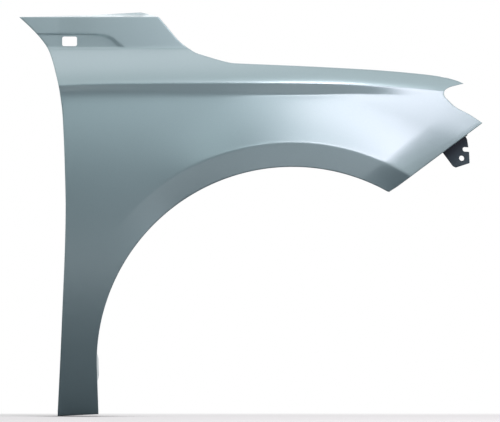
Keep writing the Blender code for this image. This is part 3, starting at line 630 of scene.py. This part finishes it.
def add_node(owner, kind, settings, inputs):
    """Add a node with these settings; each input is a value or the socket that feeds it."""
    node = owner.node_tree.nodes.new(kind)
    for name, value in settings.items():
        setattr(node, name, value)
    for name, value in inputs.items():
        if isinstance(value, bpy.types.NodeSocket):
            owner.node_tree.links.new(value, node.inputs[name])
        else:
            node.inputs[name].default_value = value
    return node


def new_material(name):
    material = bpy.data.materials.new(name)
    material.use_nodes = True
    material.node_tree.nodes.clear()
    return material


def set_ramp(ramp, positions, codes):
    """Give a ramp's two ends their positions and their colours."""
    for element, position, code in zip(ramp.elements, positions, codes):
        element.position, element.color = position, linear(code)


paint = new_material("satin_metallic_basecoat")
on_piece = add_node(paint, "ShaderNodeTexCoord", {}, {}).outputs["Object"]
flake = add_node(paint, "ShaderNodeTexNoise", {}, {"Vector": on_piece, "Scale": 1 / FLAKE, "Detail": 1.0})
peel = add_node(paint, "ShaderNodeTexNoise", {}, {
    "Vector": on_piece, "Scale": 1 / ORANGE_PEEL, "Detail": 2.0,
})
tone = add_node(paint, "ShaderNodeValToRGB", {}, {"Fac": flake.outputs["Fac"]})
set_ramp(tone.color_ramp, FLAKE_RAMP, (PAINT_DARK, PAINT_LIGHT))
gloss = add_node(paint, "ShaderNodeMapRange", {}, {
    "Value": flake.outputs["Fac"], "To Min": FLAKE_ROUGHNESS[0], "To Max": FLAKE_ROUGHNESS[1],
})
bump = add_node(paint, "ShaderNodeBump", {}, {
    "Height": peel.outputs["Fac"], "Strength": PEEL_STRENGTH, "Distance": PEEL_HEIGHT,
})
coat = add_node(paint, "ShaderNodeBsdfPrincipled", {}, {
    "Base Color": tone.outputs["Color"], "Roughness": gloss.outputs["Result"], "Metallic": 0.7,
    "Coat Weight": 1.0, "Coat Roughness": 0.32, "Coat IOR": 1.9, "Normal": bump.outputs["Normal"],
})
add_node(paint, "ShaderNodeOutputMaterial", {}, {"Surface": coat.outputs["BSDF"]})
panel.data.materials.clear()
panel.data.materials.append(paint)
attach(panel, "root")
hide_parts("fender_panel")

# Bumper bracket: a small pressed plate of 1.8 mm steel in dark primer, spot-welded by its flange inside
# the bumper edge. Its plate hangs below the corner, with a round bolt hole and a slot open to the front.
BRACKET_START_SHARE, BRACKET_LENGTH, BRACKET_DROP = 0.532, 0.0555, 0.0445
BRACKET_SHARES = (
    (0, 0.69), (0.05, 0.81), (0.5, 1), (0.714, 0.607), (0.903, 0.155), (0.914, 0.04), (1, 0.03),
)
BRACKET_SHEET, BRACKET_CLEARANCE, BRACKET_TAPER = 0.0018, 0.0015, 0.004
BRACKET_BEND, BRACKET_BEND_STEPS = 0.0015, 5
BRACKET_EDGE, BRACKET_EDGE_STEPS = 0.0002, 2
WELD_GAP, WELD_START = 0.0003, 0.005
ROUND_HOLE, ROUND_HOLE_SHARES = 0.0098, (0.387, 0.645)
SLOT_WIDTH, SLOT_END_SHARES = 0.0085, (0.645, 0.43)
bumper_line = nose_tip - bumper_corner
bracket_start = bumper_corner.lerp(nose_tip, BRACKET_START_SHARE)
bracket_end = bracket_start + bumper_line.normalized() * BRACKET_LENGTH
along_axis = (on_skin(bracket_end) - on_skin(bracket_start)) / BRACKET_LENGTH
down_axis = Vector((bumper_line.y, 0, -bumper_line.x)).normalized()
plate_axis = along_axis.cross(down_axis).normalized()
plate_inboard = BUMPER_FLANGE + BRACKET_BEND + BRACKET_CLEARANCE
weld_drop = -SHEET - WELD_GAP


def bracket_point(along, drop, inboard):
    return on_skin(bracket_start) + along_axis * along + down_axis * drop + INBOARD * inboard


outline = [bracket_point(0, weld_drop, plate_inboard)]
for along_share, drop_share in BRACKET_SHARES:
    outline.append(bracket_point(along_share * BRACKET_LENGTH, drop_share * BRACKET_DROP, plate_inboard))
outline.append(bracket_point(BRACKET_LENGTH, weld_drop, plate_inboard))
bpy.ops.mesh.primitive_circle_add(vertices=len(outline), fill_type="NGON")
bracket = bpy.context.active_object
bracket.name = "pressed_bracket"
for vert, point in zip(bracket.data.vertices, outline):
    vert.co = point
bpy.ops.object.mode_set(mode="EDIT")
bpy.ops.mesh.select_mode(type="EDGE")
bpy.ops.mesh.select_all(action="DESELECT")
bpy.ops.object.mode_set(mode="OBJECT")
for edge in bracket.data.edges:
    edge.select = set(edge.vertices) == {0, len(outline) - 1}
bpy.ops.object.mode_set(mode="EDIT")
bpy.ops.mesh.extrude_edges_indiv()
bpy.ops.object.mode_set(mode="OBJECT")
for vert in bracket.data.vertices:
    if vert.select:
        near_start = (vert.co - outline[0]).length < BRACKET_LENGTH / 2
        inwards = BRACKET_TAPER if near_start else -BRACKET_TAPER
        vert.co += INBOARD * (WELD_START - plate_inboard) + along_axis * inwards
bpy.context.view_layer.update()
weights = bracket.data.attributes.new("bevel_weight_edge", "FLOAT", "EDGE")
uses = Counter(key for face in bracket.data.polygons for key in face.edge_keys)
for edge in bracket.data.edges:
    weights.data[edge.index].value = 1 if uses[edge.key] == 2 else 0
apply_modifier(
    bracket, "BEVEL", limit_method="WEIGHT", width=BRACKET_BEND, segments=BRACKET_BEND_STEPS,
    use_clamp_overlap=False,
)
apply_modifier(bracket, "SOLIDIFY", thickness=BRACKET_SHEET, offset=-1, use_even_offset=True)
round_hole, slot_end = (
    bracket_point(BRACKET_LENGTH * along_share, BRACKET_DROP * drop_share, plate_inboard)
    for along_share, drop_share in (ROUND_HOLE_SHARES, SLOT_END_SHARES)
)
slot_axis = (ACROSS - plate_axis * ACROSS.dot(plate_axis)).normalized()
bolt_drill = add_drill(round_hole, plate_axis, ROUND_HOLE)
slot_drill = add_drill(slot_end, plate_axis, SLOT_WIDTH)
bpy.ops.object.transform_apply()
for vert in slot_drill.data.vertices:
    if (vert.co - slot_end).dot(slot_axis) > MERGE:
        vert.co += slot_axis * SLOT_WIDTH * 2
cut(bracket, join([bolt_drill, slot_drill]))
apply_modifier(
    bracket, "BEVEL", limit_method="ANGLE", angle_limit=SHARP_ANGLE, width=BRACKET_EDGE,
    segments=BRACKET_EDGE_STEPS,
)
shade_smooth_to_edges(bracket)

# Finish of the bracket: dark blue electrocoat primer, dipped on and baked. It is matt and nearly black.
# Painted shade darkens its top, under the bumper flange, so it turns paler towards the plate's lower front
# corner. Its grain is drawn 1.1 mm across, coarser than the real one, so that it shows.
PRIMER_DARK, PRIMER_PALE = "#0A131E", "#323F45"
# Painted shade: darker at the plate's top, shaded by the bumper flange, paler at its lower front corner.
PAINTED_SHADE_AXIS, PAINTED_SHADE_REACH = Vector((0.6, 0, -0.8)), 0.022
PAINTED_SHADE_RANGE, PRIMER_RAMP = (0.1, 0.8), (0.2, 0.9)
PRIMER_GRAIN, GRAIN_HEIGHT, GRAIN_STRENGTH, GRAIN_TONE = 1 / 900, 0.00002, 0.3, 0.2
primer = new_material("electrocoat_primer")
on_piece = add_node(primer, "ShaderNodeTexCoord", {}, {}).outputs["Object"]
grain = add_node(primer, "ShaderNodeTexNoise", {}, {
    "Vector": on_piece, "Scale": 1 / PRIMER_GRAIN, "Detail": 3.0,
})
# Painted shade: a ramp across the plate, from shaded dark at its top to paler at its lower front corner.
along = add_node(primer, "ShaderNodeVectorMath", {"operation": "DOT_PRODUCT"}, {
    0: on_piece, 1: PAINTED_SHADE_AXIS,
})
pale = add_node(primer, "ShaderNodeMapRange", {}, {
    "Value": along.outputs["Value"], "From Min": slot_end.dot(PAINTED_SHADE_AXIS) - PAINTED_SHADE_REACH,
    "From Max": slot_end.dot(PAINTED_SHADE_AXIS) + PAINTED_SHADE_REACH,
    "To Min": PAINTED_SHADE_RANGE[0], "To Max": PAINTED_SHADE_RANGE[1],
})
grain_and_painted_shade = add_node(primer, "ShaderNodeMath", {"operation": "MULTIPLY_ADD"}, {
    0: grain.outputs["Fac"], 1: GRAIN_TONE, 2: pale.outputs["Result"],
})
tone = add_node(primer, "ShaderNodeValToRGB", {}, {"Fac": grain_and_painted_shade.outputs[0]})
set_ramp(tone.color_ramp, PRIMER_RAMP, (PRIMER_DARK, PRIMER_PALE))
bump = add_node(primer, "ShaderNodeBump", {}, {
    "Height": grain.outputs["Fac"], "Strength": GRAIN_STRENGTH, "Distance": GRAIN_HEIGHT,
})
coat = add_node(primer, "ShaderNodeBsdfPrincipled", {}, {
    "Base Color": tone.outputs["Color"], "Roughness": 0.55, "Metallic": 0.0, "Specular IOR Level": 0.15,
    "Normal": bump.outputs["Normal"],
})
add_node(primer, "ShaderNodeOutputMaterial", {}, {"Surface": coat.outputs["BSDF"]})
bracket.data.materials.clear()
bracket.data.materials.append(primer)
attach(bracket, "root")
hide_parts("bumper_bracket")

# Studio floor: pale matt board that fades into the white surround, behind the part and further off all
# round. Where the part stands close over it, a painted shadow darkens the board and its white.
FLOOR_LEVEL, FLOOR_SIZE = cad_size[0][2], 6
FLOOR_COLOUR = "#E8E9EA"
FADE_BACK, FADE_ROUND, FADE_LEAST = (0.08, 0.5), (0.9, 1.7), 0.45
FLOOR_MIDDLE = (-0.17, -0.45, FLOOR_LEVEL)
CONTACT_REACH, CONTACT_POWER, CONTACT_SAMPLES = 0.14, 3, 16


def seen_rays(owner):
    """The socket that says whether a surface is seen, by the camera, in a reflection or through glass."""
    rays = add_node(owner, "ShaderNodeLightPath", {}, {}).outputs
    direct = add_node(owner, "ShaderNodeMath", {"operation": "MAXIMUM"}, {
        0: rays["Is Camera Ray"], 1: rays["Is Glossy Ray"],
    })
    return add_node(owner, "ShaderNodeMath", {"operation": "MAXIMUM"}, {
        0: direct.outputs[0], 1: rays["Is Transmission Ray"],
    }).outputs[0]


bpy.ops.mesh.primitive_plane_add(size=FLOOR_SIZE)
floor = bpy.context.active_object
floor.name = "studio_floor"
for vert in floor.data.vertices:
    vert.co.z = FLOOR_LEVEL
board = new_material("pale_floor")
on_floor = add_node(board, "ShaderNodeTexCoord", {}, {}).outputs["Object"]
axes = add_node(board, "ShaderNodeSeparateXYZ", {}, {"Vector": on_floor})
back = add_node(board, "ShaderNodeMapRange", {"interpolation_type": "SMOOTHSTEP"}, {
    "Value": axes.outputs["Y"], "From Min": FADE_BACK[0], "From Max": FADE_BACK[1], "To Min": FADE_LEAST,
})
apart = add_node(board, "ShaderNodeVectorMath", {"operation": "DISTANCE"}, {
    0: on_floor, 1: FLOOR_MIDDLE,
})
around = add_node(board, "ShaderNodeMapRange", {"interpolation_type": "SMOOTHSTEP"}, {
    "Value": apart.outputs["Value"], "From Min": FADE_ROUND[0], "From Max": FADE_ROUND[1],
})
fade = add_node(board, "ShaderNodeMath", {"operation": "MAXIMUM"}, {
    0: back.outputs[0], 1: around.outputs[0],
})
white_share = add_node(board, "ShaderNodeMath", {"operation": "MULTIPLY"}, {
    0: fade.outputs[0], 1: seen_rays(board),
})
# Painted shadow: occlusion within a short reach darkens the floor's colour and its white where the part
# stands near.
open_sky = add_node(board, "ShaderNodeAmbientOcclusion", {"samples": CONTACT_SAMPLES}, {
    "Distance": CONTACT_REACH,
})
painted_contact_shadow = add_node(board, "ShaderNodeMath", {"operation": "POWER"}, {
    0: open_sky.outputs["AO"], 1: CONTACT_POWER,
}).outputs[0]
shade = add_node(board, "ShaderNodeVectorMath", {"operation": "SCALE"}, {
    0: linear(FLOOR_COLOUR)[:3], "Scale": painted_contact_shadow,
})
matt = add_node(board, "ShaderNodeBsdfPrincipled", {}, {"Base Color": shade.outputs[0], "Roughness": 0.8})
white = add_node(board, "ShaderNodeEmission", {}, {"Color": (1, 1, 1, 1), "Strength": painted_contact_shadow})
mixed = add_node(board, "ShaderNodeMixShader", {}, {
    0: white_share.outputs[0], 1: matt.outputs[0], 2: white.outputs[0],
})
add_node(board, "ShaderNodeOutputMaterial", {}, {"Surface": mixed.outputs[0]})
floor.data.materials.append(board)

# White surround: the studio's walls, which the camera and reflections see at full white, but which light
# the part with only a third of that.
ROOM_LIGHT = 0.33
world = bpy.data.worlds.new("white_surround")
bpy.context.scene.world = world
world.use_nodes = True
world.node_tree.nodes.clear()
level = add_node(world, "ShaderNodeMapRange", {}, {
    "Value": seen_rays(world), "To Min": ROOM_LIGHT, "To Max": 1.0,
})
surround = add_node(world, "ShaderNodeBackground", {}, {
    "Color": (1, 1, 1, 1), "Strength": level.outputs["Result"],
})
add_node(world, "ShaderNodeOutputWorld", {}, {"Surface": surround.outputs["Background"]})

# Dark cards: matt black felt in front of the part and on the floor, which the camera doesn't see. They keep
# the low side of the panel from shining, and the front one also takes a little soft light away.
CARD_COLOUR, CARD_LIFT, UPRIGHT = "#25343A", 0.0015, math.radians(90)
felt = new_material("black_card")
pile = add_node(felt, "ShaderNodeBsdfPrincipled", {}, {
    "Base Color": linear(CARD_COLOUR), "Roughness": 0.9,
})
add_node(felt, "ShaderNodeOutputMaterial", {}, {"Surface": pile.outputs[0]})
for name, centre, size, turn in (
    ("front_card", (0, -5, 2.1), (16, 7.0), UPRIGHT),
    ("floor_card", (0, -0.05, FLOOR_LEVEL + CARD_LIFT), (3, 1.6), 0),
    ("far_card", (0, -3.2, FLOOR_LEVEL + CARD_LIFT), (6, 3.2), 0),
):
    bpy.ops.mesh.primitive_plane_add(size=1, location=centre, rotation=(turn, 0, 0))
    card = bpy.context.active_object
    card.name = name
    card.scale = (*size, 1)
    bpy.ops.object.transform_apply()
    card.data.materials.append(felt)
    card.visible_camera, card.visible_shadow, card.visible_diffuse = False, False, turn == UPRIGHT

# Lamps: seven softboxes, 3 m away, five in front of the panel and two behind it. Those towards the front of
# the car are the strongest; the middle and the rear one are slightly blue, the others slightly pink.
LIGHT_TARGET, LIGHT_AWAY = Vector((-0.1, -0.05, -0.1)), 3.0


def add_softbox(name, azimuth, elevation, size, power, tint):
    """A softbox that faces the panel, azimuth degrees to the front of the car and elevation degrees up."""
    a, e = math.radians(azimuth), math.radians(elevation)
    away = Vector((math.sin(a) * math.cos(e), -math.cos(a) * math.cos(e), math.sin(e)))
    bpy.ops.object.light_add(type="AREA", location=LIGHT_TARGET + away * LIGHT_AWAY)
    light = bpy.context.active_object
    light.name = name
    light.rotation_euler = away.to_track_quat("Z", "Y").to_euler()
    light.data.shape, (light.data.size, light.data.size_y) = "RECTANGLE", size
    light.data.energy = power
    light.data.color = tint
    light.visible_camera = False


add_softbox("key_softbox", 28, 14, (1.3, 0.8), 19.5, (1, 0.87, 0.925))
add_softbox("middle_softbox", 10, 14, (1.2, 0.8), 6.4, (0.9, 0.97, 1))
add_softbox("rear_softbox", -15, 14, (1.2, 0.8), 5.4, (0.88, 0.98, 1))
add_softbox("nose_softbox", 53, 14, (1.2, 0.8), 19, (1, 0.855, 0.925))
add_softbox("high_softbox", 30, 50, (1.2, 0.8), 48, (1, 0.91, 0.95))
add_softbox("top_softbox", 195, 66, (1.2, 0.8), 3.8, (1, 0.9, 0.95))
add_softbox("back_softbox", 180, 35, (1.4, 0.7), 6, (1, 0.97, 0.99))

# Camera: square on to the side of the car and 30 m away with a long lens, so that the panel shows
# without perspective, in a view 0.91 m wide.
VIEW_WIDTH, CAMERA_AWAY, SENSOR_WIDTH = 0.91, 30, 36
PHOTO_CENTRE = Vector((-0.1675, 0, -0.2233))
bpy.ops.object.camera_add(location=PHOTO_CENTRE - INBOARD * CAMERA_AWAY, rotation=(math.radians(90), 0, 0))
camera = bpy.context.active_object
camera.data.sensor_width = SENSOR_WIDTH
camera.data.lens = camera.data.sensor_width * CAMERA_AWAY / VIEW_WIDTH
camera.data.clip_end = 3 * CAMERA_AWAY
bpy.context.scene.camera = camera
bpy.context.scene.view_settings.view_transform = "Standard"
